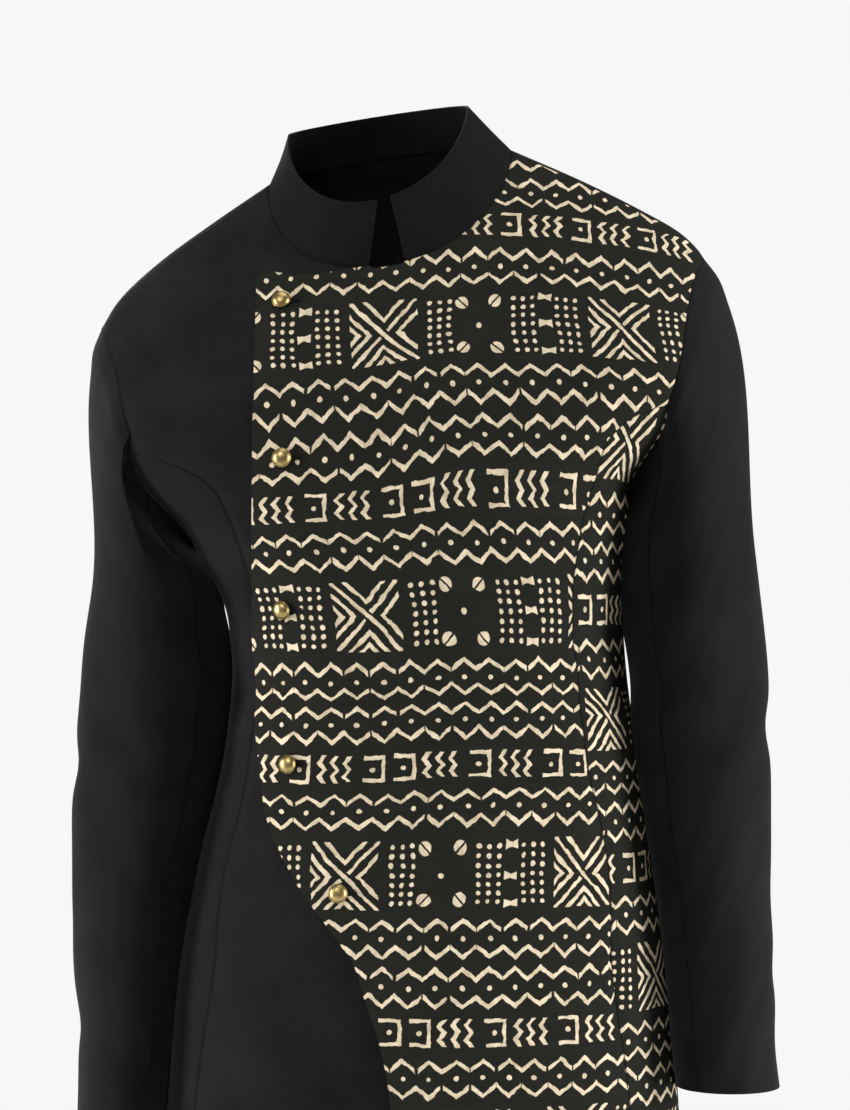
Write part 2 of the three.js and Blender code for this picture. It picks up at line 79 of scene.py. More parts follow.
world = bpy.data.worlds.new("pale_studio")
world.use_nodes = True
bpy.context.scene.world = world
sky = world.node_tree.nodes["Background"]
sky.inputs["Color"].default_value = (0.93, 0.93, 0.93, 1)
sky.inputs["Strength"].default_value = 0.14
bright_sky = world.node_tree.nodes.new("ShaderNodeBackground")
bright_sky.inputs["Color"].default_value = (0.93, 0.93, 0.93, 1)
ray = world.node_tree.nodes.new("ShaderNodeLightPath")
both_skies = world.node_tree.nodes.new("ShaderNodeMixShader")
world.node_tree.links.new(ray.outputs["Is Camera Ray"], both_skies.inputs[0])
world.node_tree.links.new(sky.outputs[0], both_skies.inputs[1])
world.node_tree.links.new(bright_sky.outputs[0], both_skies.inputs[2])
world.node_tree.links.new(both_skies.outputs[0], world.node_tree.nodes["World Output"].inputs[0])


def new_material(name):
    """A material with its nodes and its shader."""
    material = bpy.data.materials.new(name)
    material.use_nodes = True
    return material, material.node_tree, material.node_tree.nodes["Principled BSDF"]


bpy.ops.mesh.primitive_circle_add(vertices=96, radius=0.98, fill_type="NGON", location=(0, 0, -0.86))
floor = bpy.context.object
floor.name = "floor"
floor_paper, _, paper = new_material("floor_paper")
paper.inputs["Base Color"].default_value = (0.8, 0.8, 0.8, 1)
paper.inputs["Roughness"].default_value = 0.9
paper.inputs["Specular IOR Level"].default_value = 0.0
paper.inputs["Emission Color"].default_value = (1, 1, 1, 1)
paper.inputs["Emission Strength"].default_value = 0.3
floor.data.materials.append(floor_paper)


# Right front
# Two black suiting panels joined by a princess seam that runs out into the armhole.
# The centre one goes far under the printed front, to a hidden straight edge.
def smooth_line(rows, key=0, column=1):
    """A table's column as a smooth curve through its rows, level past its ends."""
    at = np.array([row[key] for row in rows], float)
    value = np.array([row[column] for row in rows], float)
    before = np.diff(at)
    rise = np.diff(value) / before
    inner = (rise[:-1] * before[1:] + rise[1:] * before[:-1]) / (before[:-1] + before[1:])
    slope = np.concatenate([rise[:1], inner, rise[-1:]])

    def read(place):
        place = np.asarray(place, float)
        i = np.searchsorted(at[1:-1], place)
        span = before[i]
        t = np.clip((place - at[i]) / span, 0, 1)
        u = 1 - t
        ends = value[i] * u * u * (1 + 2 * t) + value[i + 1] * t * t * (3 - 2 * t)
        return ends + span * (slope[i] * t * u * u - slope[i + 1] * t * t * u)

    return read


def oval_surface(rows):
    """A surface through oval sections. Turn is 0 at the front and grows to the jacket's left."""
    levelled = [(*row, (row[2] + row[4]) / 2) for row in rows]
    columns = [smooth_line(levelled, 10, column) for column in range(1, 10)]

    def surface(turn, level):
        left_x, left_z, right_x, right_z, front, back, dip, rise, square = [c(level) for c in columns]
        sine, cosine = np.sin(turn), np.cos(turn)
        across = np.sign(sine) * np.abs(sine) ** (2 / square)
        ahead = np.sign(cosine) * np.abs(cosine) ** (2 / square)
        y = -ahead * np.where(ahead > 0, front, back)
        tilt = -ahead * np.where(ahead > 0, dip, rise)
        x = (left_x + right_x) / 2 + across * (right_x - left_x) / 2 + y * BODY_TWIST
        z = (left_z + right_z) / 2 + across * (right_z - left_z) / 2 + tilt
        return np.stack([x, y, z], axis=-1)

    surface.step = 0.5
    surface.level = {row[0]: row[10] for row in levelled}
    return surface


BODY_TWIST = 0.087
SEAM_GAP = -0.3  # under zero, since sewn pieces meet without a gap
CLOTH = 1.5  # thickness that shows at an edge
# at, left x, left z, right x, right z, front, back, dip, rise, square
BODY = [
    ("hem", -172, -768, 222, -768, 124, 130, 0, 0, 2.3),
    ("low hip", -166, -690, 217, -690, 124, 128, 0, 0, 2.3),
    ("hip", -156, -594, 209, -594, 121, 124, 0, 0, 2.3),
    ("high hip", -142, -520, 198, -520, 117, 118, 0, 0, 2.3),
    ("under waist", -125, -447, 186.5, -443, 113, 107, 0, 0, 2.3),
    ("waist", -118, -379, 177.5, -367, 112, 99, 0, 0, 2.3),
    ("ribs", -122, -333, 174.5, -313, 116, 102, 0, 0, 2.3),
    ("chest", -137.5, -300, 178.5, -270, 121, 108, 2, 0, 2.35),
    ("armpit", -152, -277, 185, -240, 123, 112, 6, 2, 2.4),
    ("blades", -204, -228, 234, -183, 121, 117, 17, 6, 2.4),
    ("mid armhole", -234, -180, 258, -130, 116, 116, 38, 10, 2.4),
    ("high armhole", -231, -143, 250, -92, 109.5, 111, 53, 12, 2.3),
    ("shoulder tip", -219, -123, 238, -70, 104.5, 107, 61, 14, 2.15),
    ("outer shoulder", -205, -101, 221, -52, 97.5, 100, 67, 16, 2.05),
    ("mid shoulder", -176, -74, 190, -34, 88, 89, 71, 17, 2),
    ("inner shoulder", -135, -44, 145, -12, 75, 76, 75, 17, 2),
    ("collar seam", -91, -14, 92, 11, 61, 62, 79, 14, 2),
]
body = oval_surface(BODY)

# Lines of the pattern as they run in the front view: z, x
ARMHOLE_RIGHT = [
    (-279, -145), (-263, -153), (-243, -166), (-224, -180), (-199, -193),
    (-160, -203), (-142, -209), (-123, -219), (-100, -240),
]
ARMHOLE_LEFT = [
    (-242, 176), (-223, 186), (-203, 197), (-184, 206), (-145, 217),
    (-106, 224), (-88, 229), (-70, 238), (-47, 258),
]
ARMPIT_RADIUS = 45
PRINCESS_RIGHT = [
    (-768, -151), (-656, -138), (-597, -129), (-565, -127), (-522, -121), (-489, -112),
    (-432, -102), (-380, -99), (-320, -102), (-289, -110), (-262, -120), (-245, -130),
    (-232, -150), (-222, -180), (-212, -230),
]
HIDDEN_EDGE = [(-768, 50), (-400, 30), (-200, 4), (-77, -16)]
armhole_right = smooth_line(ARMHOLE_RIGHT)
armhole_left = smooth_line(ARMHOLE_LEFT)
princess_right = smooth_line(PRINCESS_RIGHT)
hidden_edge = smooth_line(HIDDEN_EDGE)

# Soft troughs pressed into the cloth, and with a depth under zero ridges that stand out of it:
# from x, y, z, to x, y, z, depth, half width
FOLDS = [
    (-176, -98, -158, -168, -108, -205, 2.5, 15),
    (196, -76, -196, 160, -108, -214, 2.5, 15),
    (-112, -55, -398, -84, -92, -384, 3, 16),
    (176, -30, -352, 126, -92, -366, 3.5, 18),
    (180, -20, -392, 132, -88, -400, 2.5, 16),
    (-70, 96, -352, 40, 104, -366, 4, 20),
    (140, 70, -372, 50, 100, -388, 3.5, 18),
    (-110, 60, -404, -20, 100, -414, 3, 18),
    (-170, 88, -196, -120, 108, -262, 3, 18),
    (190, 88, -150, 146, 106, -222, 3, 18),
    (-152, -52, -356, -208, -50, -380, 4.5, 17),
    (-150, -52, -418, -200, -58, -434, 5, 17),
    (-156, -50, -466, -196, -54, -484, 4, 16),
    (-240, -18, -452, -226, 44, -476, 4, 18),
    (-160, -46, -548, -222, -40, -570, 3.5, 17),
    (-236, -20, -640, -196, -58, -662, 3, 16),
    (204, -52, -324, 256, -56, -350, 4.5, 17),
    (206, -52, -394, 254, -58, -414, 5, 17),
    (212, -50, -448, 252, -56, -462, 4, 16),
    (286, -16, -424, 272, 44, -452, 4, 18),
    (212, -46, -530, 272, -42, -548, 3.5, 17),
    (288, -22, -606, 248, -56, -628, 3, 16),
    (-146, -60, -304, -140, 40, -318, -4.2, 17),
    (-128, -30, -330, -124, -20, -352, -1.5, 15),
    (-150, -20, -506, -176, -30, -650, -1.4, 20),
    (180, -60, -262, 178, 40, -272, -3.4, 14),
    (178, -20, -285, 175, -20, -345, -2.6, 18),
    (184, -20, -425, 200, -20, -500, -1.6, 18),
    (226, -20, -600, 232, -20, -680, -1.6, 20),
]


def fold_depth(points):
    """How deep the folds press the cloth in at each point."""
    depth = np.zeros(len(points))
    for fold in FOLDS:
        start, end = np.array(fold[:3], float), np.array(fold[3:6], float)
        along = np.clip((points - start) @ (end - start) / ((end - start) @ (end - start)), 0, 1)
        away = np.linalg.norm(points - start - along[:, None] * (end - start), axis=1) / fold[7]
        depth += fold[6] * np.exp(-away * away)
    return depth


def outward(surface, u, v):
    """The outward direction of a surface at places on it."""
    along_u = surface(u + 0.02, v) - surface(u - 0.02, v)
    along_v = surface(u, v + surface.step) - surface(u, v - surface.step)
    normal = np.cross(along_u, along_v)
    return normal / np.maximum(np.linalg.norm(normal, axis=1), 1e-9)[:, None]


def grid(us, vs):
    """Places in rows, and triangles between them that face out."""
    places = np.stack(np.meshgrid(us, vs), axis=-1).reshape(-1, 2)
    a = (np.arange(len(vs) - 1)[:, None] * len(us) + np.arange(len(us) - 1)).ravel()
    b, c, d = a + 1, a + 1 + len(us), a + len(us)
    return places, np.concatenate([np.stack([a, b, c], 1), np.stack([a, c, d], 1)])


CUT_RADIAN = 170  # the length of a radian round the body, to weigh turns against levels
TURN_STEP = 0.01  # how far a place may be moved at once
LEVEL_STEP = 1.5


def cut(patch, inside, near):
    """Cuts a patch where inside(u, v) is zero, keeping what is over zero.
    Places within near of the line are first moved onto it, so that no slivers are left."""
    places, triangles = patch
    places = places.copy()
    depth = inside(*places.T)
    for _ in range(3):
        close = np.abs(inside(*places.T)) < near
        close &= np.abs(depth) < near
        u, v = places[close].T
        here = inside(u, v)
        slope_u = (inside(u + 1e-4, v) - inside(u - 1e-4, v)) / 2e-4
        slope_v = (inside(u, v + 0.02) - inside(u, v - 0.02)) / 0.04
        size = slope_u**2 / CUT_RADIAN**2 + slope_v**2 + 1e-9
        turned = here * slope_u / CUT_RADIAN**2 / size
        places[close, 0] -= np.clip(turned, -TURN_STEP, TURN_STEP)
        places[close, 1] -= np.clip(here * slope_v / size, -LEVEL_STEP, LEVEL_STEP)
    now = inside(*places.T)
    depth = np.where((np.abs(depth) < near) & (np.abs(now) < 0.05), 0, now)
    kept = depth >= 0
    count = kept[triangles].sum(1)
    whole = triangles[(count == 3) & (depth[triangles].max(1) > 0)]
    pieces, pairs = [whole], []
    for wanted in (1, 2):
        part = triangles[count == wanted]
        row = np.arange(len(part))
        lone = np.argmax(kept[part] == (wanted == 1), axis=1)
        a, b, c = part[row, lone], part[row, (lone + 1) % 3], part[row, (lone + 2) % 3]
        pairs += [(a, b), (a, c)]
        pieces.append((a, b, c))
    ends = np.concatenate([np.stack([np.minimum(a, b), np.maximum(a, b)], 1) for a, b in pairs])
    unique, place_of = np.unique(ends, axis=0, return_inverse=True)
    place_of = place_of.ravel()
    first = kept[unique[:, 0]]
    good = places[np.where(first, unique[:, 0], unique[:, 1])].copy()
    bad = places[np.where(first, unique[:, 1], unique[:, 0])].copy()
    for _ in range(16):
        middle = (good + bad) / 2
        is_in = inside(*middle.T) > 0
        good[is_in] = middle[is_in]
        bad[~is_in] = middle[~is_in]
    on_line = np.where(first, unique[:, 0], unique[:, 1])
    crossing = np.where(depth[on_line] == 0, on_line, len(places) + np.arange(len(unique)))
    crossing = crossing[place_of]
    sizes = np.cumsum([0] + [len(a) for a, _ in pairs])
    ab1, ac1, ab2, ac2 = [crossing[sizes[i]:sizes[i + 1]] for i in range(4)]
    a, b, c = pieces[1]
    made = [whole, np.stack([a, ab1, ac1], 1)]
    a, b, c = pieces[2]
    made += [np.stack([ab2, b, c], 1), np.stack([ab2, c, ac2], 1)]
    triangles = np.concatenate(made)
    places = np.concatenate([places, good])
    a, b, c = triangles.T
    triangles = triangles[(a != b) & (b != c) & (c != a)]
    used, new = np.unique(triangles, return_inverse=True)
    return places[used], new.reshape(-1, 3)


def arc_map(surface, turns, levels, start_turn):
    """Distances along a surface: round from start_turn, and up from the first level."""
    lattice = surface(*np.meshgrid(turns, levels))
    round_it = np.linalg.norm(np.diff(lattice, axis=1), axis=2).cumsum(axis=1)
    round_it = np.concatenate([np.zeros((len(levels), 1)), round_it], axis=1)
    first = np.argmin(np.abs(turns - start_turn))
    round_it -= round_it[:, first : first + 1]
    up_it = np.linalg.norm(np.diff(lattice, axis=0), axis=2).cumsum(axis=0)
    up_it = np.concatenate([np.zeros((1, len(turns))), up_it], axis=0)

    def read(turn, level):
        i = np.clip(np.searchsorted(turns, turn) - 1, 0, len(turns) - 2)
        j = np.clip(np.searchsorted(levels, level) - 1, 0, len(levels) - 2)
        s = (turn - turns[i]) / (turns[i + 1] - turns[i])
        t = (level - levels[j]) / (levels[j + 1] - levels[j])
        both = []
        for values in (round_it, up_it):
            low = values[j, i] * (1 - s) + values[j, i + 1] * s
            high = values[j + 1, i] * (1 - s) + values[j + 1, i + 1] * s
            both.append(low * (1 - t) + high * t)
        return np.stack(both, axis=-1)

    return read


def cloth_piece(name, node, points, triangles, cloth_places, material, seam=None):
    """A thin shell of cloth in place of its solid, with its places on the flat cloth as its map."""
    name = f"{name}_cloth"
    mesh = bpy.data.meshes.new(name)
    mesh.from_pydata((points / 1000).tolist(), [], triangles.tolist())
    cloth_map = mesh.uv_layers.new(name="cloth")
    corner = np.empty(len(mesh.loops), np.int32)
    mesh.loops.foreach_get("vertex_index", corner)
    cloth_map.data.foreach_set("uv", (cloth_places[corner] / 1000).astype(np.float32).ravel())
    if seam is not None:
        mesh.attributes.new("seam", "FLOAT", "POINT").data.foreach_set("value", seam.astype(np.float32))
    mesh.materials.append(material)
    piece = bpy.data.objects.new(name, mesh)
    bpy.context.scene.collection.objects.link(piece)
    bpy.context.view_layer.objects.active = piece
    piece.select_set(True)
    wall = piece.modifiers.new("wall", "SOLIDIFY")
    wall.thickness = CLOTH / 1000
    wall.offset = -1
    bpy.ops.object.modifier_apply(modifier="wall")
    bpy.ops.object.shade_smooth_by_angle(angle=math.radians(50))
    piece.select_set(False)
    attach(piece, "root")
    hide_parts(node)
    return piece


def clear_of_armhole(points, line, armpit_z, side):
    x, y, z = points[..., 0], points[..., 1], points[..., 2]
    return np.maximum(side * (line(z) - x), armpit_z + y**2 / (2 * ARMPIT_RADIUS) - z)


def clear_of_right_arm(points):
    return clear_of_armhole(points, armhole_right, ARMHOLE_RIGHT[0][0], -1)


def clear_of_left_arm(points):
    return clear_of_armhole(points, armhole_left, ARMHOLE_LEFT[0][0], 1)


QUARTER = math.pi / 2
BODY_STEP = 3.6  # size of the mesh's squares
GRID_RADIAN = 155  # the length of a radian round the body, as the mesh takes it
SEAM_RADIAN = 150  # and as the seams take it
NECK_LEVEL = 1.4  # the length of a level near the neck
GROOVE = 0.9  # how deep the cloth sinks in at a seam
GROOVE_WIDTH = 3.4
GROOVE_FADE = 8  # the grooves fade out over this length towards an armhole or the neck
ARM_GROOVE = 0.45
ARM_GROOVE_WIDTH = 4
FOLD_FADE = 14  # and the folds over this one towards an armhole
body_levels = np.linspace(body.level["hem"], body.level["collar seam"], 230)
body_arcs = arc_map(body, np.linspace(-2, 5, 500), np.linspace(-768, 0, 300), 0)


POCKET_FOOT = -648
POCKET_TOP = -574
POCKET_X = 167
POCKET_DEPTH = 2.4
POCKET_ENDS = 4  # how softly it closes at both ends


def opened(points):
    """The pocket mouth left in the left princess seam, where the seam sinks in further."""
    x, y, z = points[:, 0], points[:, 1], points[:, 2]
    over_foot = 1 / (1 + np.exp((POCKET_FOOT - z) / POCKET_ENDS))
    under_top = 1 / (1 + np.exp((z - POCKET_TOP) / POCKET_ENDS))
    return POCKET_DEPTH * over_foot * under_top * (np.abs(x - POCKET_X) < 20) * (y < 0)


def body_panel(name, first, last, cuts, material, lift=None, mapped=None, free_edge=None):
    """One panel of the body between two turns, cut along its pattern lines and rolled in at its seams."""
    edge = SEAM_GAP / 2 / SEAM_RADIAN
    steps = int(round((last - first) * GRID_RADIAN / BODY_STEP))
    turns = np.linspace(first + edge, last - edge, steps)
    patch = grid(turns, body_levels)
    for inside in cuts:
        patch = cut(patch, lambda u, v: inside(body(u, v)) - SEAM_GAP / 2, 1.3)
    places, triangles = patch
    turn, level = places.T
    points = body(turn, level)
    normals = outward(body, turn, level)
    from_seam = np.minimum(turn - turns[0], turns[-1] - turn) * SEAM_RADIAN
    from_arm = np.full(len(points), 1000.0)
    for inside in cuts:
        if inside in (clear_of_left_arm, clear_of_right_arm):
            from_arm = np.maximum(inside(points), 0)
        elif inside is not free_edge:
            from_seam = np.minimum(from_seam, inside(points))
    from_neck = (body_levels[-1] - level) * NECK_LEVEL
    deep = (GROOVE + opened(points)) * np.clip(np.minimum(from_neck, from_arm) / GROOVE_FADE, 0, 1)
    rise = -fold_depth(points) * np.clip(from_arm / FOLD_FADE, 0, 1)
    rise -= deep * np.exp(-((np.maximum(from_seam, 0) / GROOVE_WIDTH) ** 2))
    rise -= ARM_GROOVE * np.exp(-((from_arm / ARM_GROOVE_WIDTH) ** 2))
    from_seam = np.minimum(np.minimum(from_seam, from_arm), from_neck)
    if lift is not None:
        rise += lift(points)
    cloth_places = body_arcs(turn, level)
    if mapped is not None:
        cloth_places = mapped(points, cloth_places)
    points = points + normals * rise[:, None]
    piece = cloth_piece(name, name, points, triangles, cloth_places, material, from_seam)
    return piece


class Field:
    """A number that varies over the cloth: a node's output, joined with the usual signs."""

    def __init__(self, tree, socket):
        self.tree = tree
        self.socket = socket

    def make(self, operation, *others, clamp=False):
        node = self.tree.nodes.new("ShaderNodeMath")
        node.operation = operation
        node.use_clamp = clamp
        for place, value in zip(node.inputs, (self, *others)):
            if isinstance(value, Field):
                self.tree.links.new(value.socket, place)
            else:
                place.default_value = value
        return Field(self.tree, node.outputs[0])

    def __add__(self, other):
        return self.make("ADD", other)

    def __sub__(self, other):
        return self.make("SUBTRACT", other)

    def __mul__(self, other):
        return self.make("MULTIPLY", other)

    def __abs__(self):
        return self.make("ABSOLUTE")

    def __and__(self, other):
        return self.make("MULTIPLY", other)

    def __or__(self, other):
        return self.make("MAXIMUM", other)

    def under(self, edge, soft=0.35):
        return self.make("MULTIPLY_ADD", -1 / soft, edge / soft + 0.5, clamp=True)

    def over(self, edge, soft=0.35):
        return self.make("MULTIPLY_ADD", 1 / soft, 0.5 - edge / soft, clamp=True)

    def past(self, edge):
        return self.make("GREATER_THAN", edge)

    def repeated(self, period, offset=0.0):
        """Distance from the nearest of a row of places, under zero before it."""
        return (self - offset if offset else self).make("WRAP", period / 2, -period / 2)

    def squared(self, other):
        return self.make("MULTIPLY_ADD", self, other * other)


def noise_on(tree, place, size, detail=1.0, stretch=(1, 1, 1)):
    """Soft noise over the cloth with blotches of a size in millimetres."""
    scaled = tree.nodes.new("ShaderNodeMapping")
    scaled.inputs["Scale"].default_value = [s / size for s in stretch]
    tree.links.new(place, scaled.inputs["Vector"])
    noise = tree.nodes.new("ShaderNodeTexNoise")
    noise.inputs["Scale"].default_value = 1
    noise.inputs["Detail"].default_value = detail
    tree.links.new(scaled.outputs[0], noise.inputs["Vector"])
    return noise


def noise_field(tree, place, size, detail=1.0, stretch=(1, 1, 1)):
    return Field(tree, noise_on(tree, place, size, detail, stretch).outputs[0])


def emboss(tree, shader, heights, strength, distance):
    """Small hills and hollows on a surface, the highest at one being distance metres high."""
    bump = tree.nodes.new("ShaderNodeBump")
    bump.inputs["Strength"].default_value = strength
    bump.inputs["Distance"].default_value = distance
    tree.links.new(heights.socket, bump.inputs["Height"])
    tree.links.new(bump.outputs[0], shader.inputs["Normal"])


def cloth_place(tree):
    """Places on the flat cloth in millimetres."""
    flat = tree.nodes.new("ShaderNodeUVMap")
    flat.uv_map = "cloth"
    scaled = tree.nodes.new("ShaderNodeVectorMath")
    scaled.operation = "SCALE"
    scaled.inputs["Scale"].default_value = 1000
    tree.links.new(flat.outputs[0], scaled.inputs[0])
    return scaled.outputs[0]


def mix_colours(tree, factor, first, second):
    """A colour between two, which are colours or sockets."""
    mix = tree.nodes.new("ShaderNodeMix")
    mix.data_type = "RGBA"
    tree.links.new(factor.socket, mix.inputs[0])
    for place, colour in ((mix.inputs[6], first), (mix.inputs[7], second)):
        if isinstance(colour, tuple):
            place.default_value = (*colour, 1)
        else:
            tree.links.new(colour, place)
    return mix.outputs[2]


def seam_distance(tree):
    """How far each place is from its piece's nearest seam, in millimetres."""
    attribute = tree.nodes.new("ShaderNodeAttribute")
    attribute.attribute_name = "seam"
    return Field(tree, attribute.outputs["Fac"])


def suiting(name, depth=1.0):
    """Black cotton suiting in a fine twill, paler where it is rubbed, and darkened along its seams by
    painted shade. Depth scales how pale it gets; under 1 it makes a darker copy of the suiting, which is
    painted shade.
    """
    material, tree, shader = new_material(name)
    place = cloth_place(tree)
    clouds = noise_field(tree, place, 55, 3)
    rubbed = noise_field(tree, place, 9, 3)
    fibres = noise_field(tree, place, 0.9, 2, (1, 0.25, 1))
    wear_and_painted_shade = clouds * 1.15 + rubbed * 0.35 + fibres * 0.35
    # near a seam the paleness is taken away: painted shade in the seam's hollow
    wear_and_painted_shade = wear_and_painted_shade.make("SUBTRACT", 0.55, clamp=True) & seam_distance(tree).over(1.2, 1.4)
    # a depth under 1 darkens the whole piece: painted shade
    colour = mix_colours(tree, wear_and_painted_shade * depth, (0.0022, 0.0022, 0.0026), (0.0135, 0.0135, 0.0155))
    tree.links.new(colour, shader.inputs["Base Color"])
    shader.inputs["Roughness"].default_value = 0.78
    shader.inputs["Specular IOR Level"].default_value = 0.1
    shader.inputs["Sheen Weight"].default_value = 0.05
    shader.inputs["Sheen Roughness"].default_value = 0.4

    flat = tree.nodes.new("ShaderNodeSeparateXYZ")
    tree.links.new(place, flat.inputs[0])
    across, up = Field(tree, flat.outputs[0]), Field(tree, flat.outputs[1])
    wale = (across + up * 0.9).make("PINGPONG", 0.36)
    stitched = seam_distance(tree).under(1.2, 1.2)
    crumple = noise_field(tree, place, 38, 2, (1, 0.6, 1))
    heights = wale * 0.35 + fibres * 0.25 + crumple * 2.6 - stitched * 0.6
    emboss(tree, shader, heights, 0.5, 0.001)
    return material


black_cloth = suiting("black_cloth")
# the collar in a darker copy of the suiting: painted shade, for the shadow a wearer's head would cast on
# it
collar_in_painted_shade = suiting("black_collar_in_painted_shade", 0.35)

body_panel(
    "front_right_centre", -QUARTER, math.radians(60),
    [
        lambda p: p[..., 0] - princess_right(p[..., 2]),
        lambda p: hidden_edge(p[..., 2]) - p[..., 0],
        clear_of_right_arm,
    ],
    black_cloth,
)
body_panel(
    "front_right_side", -QUARTER, math.radians(-22.5),
    [lambda p: princess_right(p[..., 2]) - p[..., 0], clear_of_right_arm],
    black_cloth,
)

# Left front
# Two panels of strip-woven mud cloth with its print, again joined by a princess seam.
# The centre one laps far over the right front and ends in a long curved edge.
LAP_EDGE = [
    (-768, 8), (-698, 2), (-660, -4), (-618, -17), (-593, -25), (-567, -43), (-537, -65),
    (-512, -79), (-489, -88), (-457, -93), (-432, -96), (-362, -99), (-298, -99), (-90, -98),
]
LAP_TOP = [(-98, -84), (-58, -88), (-31, -84), (-1, -79), (13, -75), (40, -20)]
PRINCESS_LEFT = [
    (-768, 186), (-656, 173), (-597, 166), (-522, 162), (-489, 156), (-450, 147), (-380, 141),
    (-320, 136), (-289, 140), (-262, 145), (-241, 152), (-206, 167), (-192, 185), (-182, 215),
    (-172, 270),
]
lap_edge = smooth_line(LAP_EDGE)
lap_top = smooth_line(LAP_TOP)
princess_left = smooth_line(PRINCESS_LEFT)
LAP_LIFT = 2.8
LAP_TAPER = 45
CORNER_RADIUS = 7


def lap_lift(points):
    past = (points[..., 0] - hidden_edge(points[..., 2]) - 10) / LAP_TAPER
    t = np.clip(past, 0, 1)
    return LAP_LIFT * (1 - t * t * (3 - 2 * t))


def lap_outline(points):
    from_edge = points[..., 0] - lap_edge(points[..., 2])
    from_top = lap_top(points[..., 0]) - points[..., 2]
    in_corner = (from_edge < CORNER_RADIUS) & (from_top < CORNER_RADIUS)
    rounded = CORNER_RADIUS - np.hypot(CORNER_RADIUS - from_edge, CORNER_RADIUS - from_top)
    shape = np.where(in_corner, rounded, np.minimum(from_edge, from_top))
    return np.where(points[..., 0] > LAP_TOP[4][0], 1000, shape)


# The heights of the print's rows as they hang at the lap's edge, against their places on the print
ROW_HEIGHTS = [
    (-768, -622), (-720, -574.2), (-673.8, -528.5), (-640.1, -494), (-608.4, -462.5),
    (-573.6, -428.5), (-529, -382.8), (-482.4, -337), (-451.9, -302.7), (-419, -271),
    (-388.3, -237), (-340.1, -191.4), (-292.3, -145.7), (-260.6, -111.3), (-227.6, -79.7),
    (-183.6, -45.7), (-137.6, 0), (-91.6, 45.7), (-53.6, 80), (-29.3, 111.7), (-4, 140), (30, 175),
]
# How far the rows rise towards the left shoulder: x, rise at the chest, and z, its share
ROW_RISE = [(-100, -2), (-65, 0), (-4, 3.8), (38, 10.4), (114, 11.5), (172, 8.9), (240, 2)]
RISE_SHARE = [
    (-640, -0.1), (-574, 0), (-529, 0.12), (-484, 0.4), (-389, 0.38), (-338, 0.4), (-250, 1.1),
    (-226, 1.7), (-183, 1.45), (-135, 1), (-50, 0.7),
]
row_height = smooth_line(ROW_HEIGHTS)
row_rise = smooth_line(ROW_RISE)
rise_share = smooth_line(RISE_SHARE)

# What the shoulder does to them: the rows droop at its end, and draw apart at its foot
SHOULDER_DROOP = [(100, 0), (112, 0), (150, 3.2), (195, 7.5), (225, 12), (245, 16)]
DROOP_SHARE = [(-130, 0), (-100, 1), (-50, 0.85), (-20, 0.4), (0, 0.2)]
DRAWN_APART = [(40, 0.8), (80, 2.5), (112, 3.5), (245, 4)]
APART_SHARE = [(-140, 0), (-120, 0.8), (-95, 1), (-75, 0.3), (-55, -0.5), (-20, -0.5)]
shoulder_droop = smooth_line(SHOULDER_DROOP)
droop_share = smooth_line(DROOP_SHARE)
drawn_apart = smooth_line(DRAWN_APART)
apart_share = smooth_line(APART_SHARE)


def on_the_print(points, arcs):
    """Places on the print: across by the cloth's own length, up by the rows' heights.
    Above the chest the rows' places across stay over those of the chest, so that figures stand upright."""
    x, z = points[:, 0], points[:, 2]
    hung = z - row_rise(x) * rise_share(z) + shoulder_droop(x) * droop_share(z)
    hung -= drawn_apart(x) * apart_share(z)
    across = arcs[:, 0]
    chest = np.abs(z + 132) < 3
    if chest.any():
        order = np.argsort(x[chest])
        chest_x = x[chest][order]
        upright = np.interp(x, chest_x, across[chest][order])
        upright += np.maximum(x - chest_x[-1], 0) + np.minimum(x - chest_x[0], 0)
        share = np.clip((z + 132) / 40, 0, 1)
        across = across + (upright - across) * share
    return np.stack([across, row_height(hung)], axis=-1)


def wobbled(tree, place, size, amount):
    """The same places moved a little each way, as a hand draws."""
    noise = noise_on(tree, place, size)
    moved = tree.nodes.new("ShaderNodeVectorMath")
    moved.operation = "MULTIPLY_ADD"
    moved.inputs[1].default_value = (amount, amount, 0)
    moved.inputs[2].default_value = (-amount / 2, -amount / 2, 0)
    tree.links.new(noise.outputs["Color"], moved.inputs[0])
    total = tree.nodes.new("ShaderNodeVectorMath")
    tree.links.new(place, total.inputs[0])
    tree.links.new(moved.outputs[0], total.inputs[1])
    return total.outputs[0]


# The print, charted in millimetres. A repeat is a band of blocks with a double zigzag over and
# under it, another double zigzag below and a row of squiggles and brackets above.
REPEAT_HIGH = 191.4
REPEAT_WIDE = 179.5
SQUIGGLE_REPEAT = 133
SQUIGGLE_START = 85.2
SECOND_ROW_SHIFT = 11.4
LOWEST_ROW_SHIFT = 20
LOWEST_ROW_JUMP = 56  # how far back its last figures lie, past LOWEST_ROW_END
LOWEST_ROW_END = 220.5
TOP_ROW_START = 60.2
TOP_ROW_TURN = (29.5, 83.5)  # the part of the repeat that the top row has, over and over
ZIGZAG = 19.5
BAND = 45.7  # from a block's centre to the double zigzags on both sides
NEXT_BAND = 34  # and on to the next band
STROKE = 1.35  # half a painted line
ZIGZAG_START = 5
BLOCK_HIGH = 29  # half of it
TIES_AWAY = 58.2  # from a block's centre to its bow ties
BEANS_AWAY = 70.5  # and to its coffee beans


